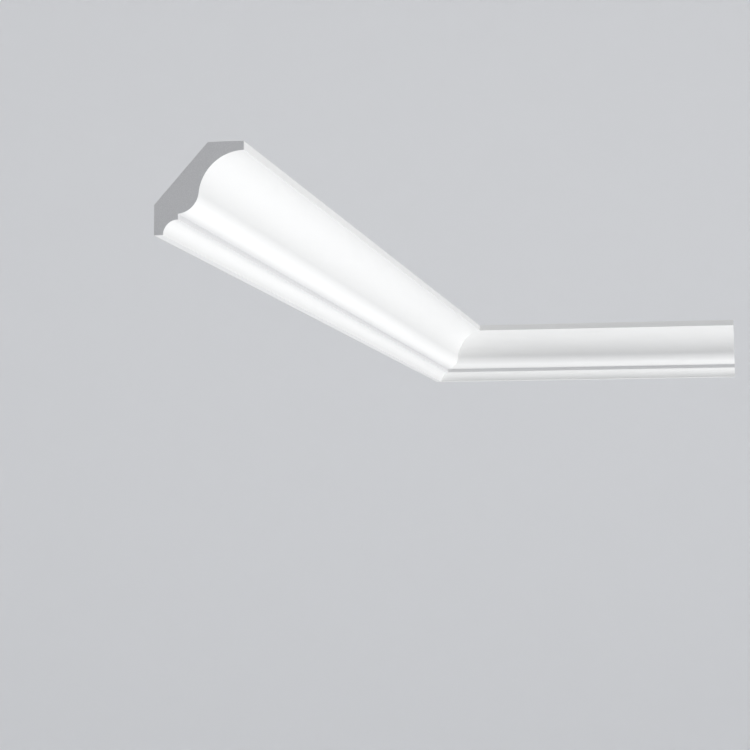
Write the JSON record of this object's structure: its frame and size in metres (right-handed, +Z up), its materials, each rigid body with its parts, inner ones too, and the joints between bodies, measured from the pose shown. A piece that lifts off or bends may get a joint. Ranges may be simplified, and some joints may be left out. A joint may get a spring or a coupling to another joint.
{
  "type": "mitred cornice moulding",
  "caption": "White primed cornice with a deep cove, ovolo, step and small lower cove, turning an inside corner with a mitre, square cut at both ends.",
  "frame": {"origin": "centre of the side-wall length's flat face against its wall, half way along that length", "axes": "+X out from the side wall and along the back wall to the right, +Y along the side wall towards the back wall, +Z up to the ceiling"},
  "size_m": [0.6, 2, 0.103],
  "materials": {
    "primed_foamed_polymer": "rigid foamed polymer with a smooth satin-matt white factory primer; cut ends show the pale grey fine-celled foam"
  },
  "bodies": {
    "root": {"side_wall_length": "primed_foamed_polymer", "back_wall_length": "primed_foamed_polymer"}
  },
  "joints": []
}
